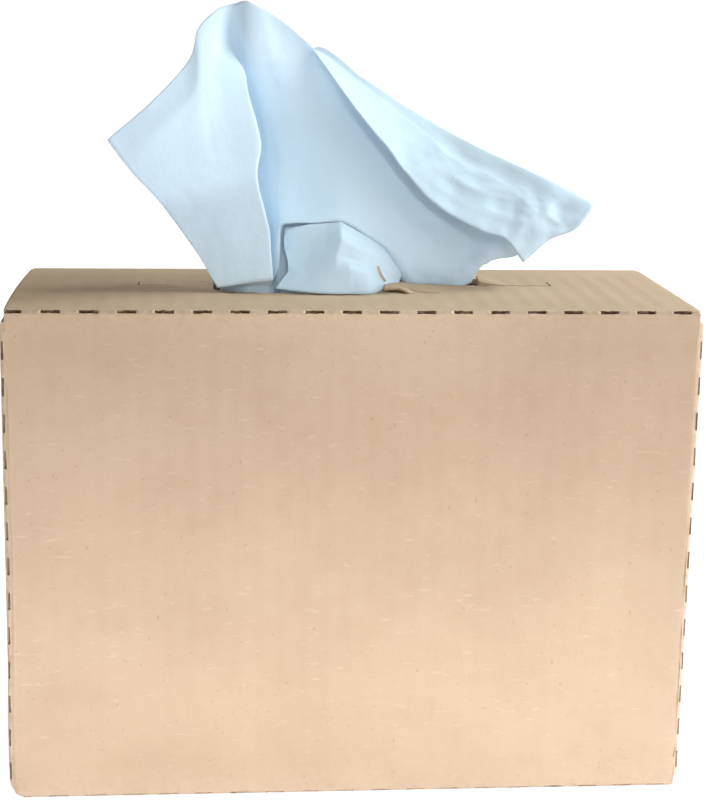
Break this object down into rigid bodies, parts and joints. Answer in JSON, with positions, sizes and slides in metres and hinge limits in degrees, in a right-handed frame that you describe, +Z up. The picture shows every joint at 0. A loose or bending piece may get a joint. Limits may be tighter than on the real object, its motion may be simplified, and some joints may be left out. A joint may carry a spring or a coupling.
{
  "type": "pop-up wipes carton",
  "caption": "Corrugated board carton of folded wipes, with one wipe standing up through the torn slot in its top panel.",
  "frame": {"origin": "middle of the carton's bottom face, on the surface that it stands on", "axes": "+X to the right of someone facing the front, +Y to the back, +Z up"},
  "size_m": [0.241, 0.098, 0.2783],
  "materials": {
    "kraft_board": "matt brown kraft liner",
    "wipe_cloth": "matt pale blue nonwoven",
    "folded_wipes": "matt pale blue nonwoven, folded"
  },
  "bodies": {
    "root": {"carton": "kraft_board", "wipe_stack": "folded_wipes", "next_wipe": "wipe_cloth", "popped_wipe": "wipe_cloth"}
  },
  "joints": []
}
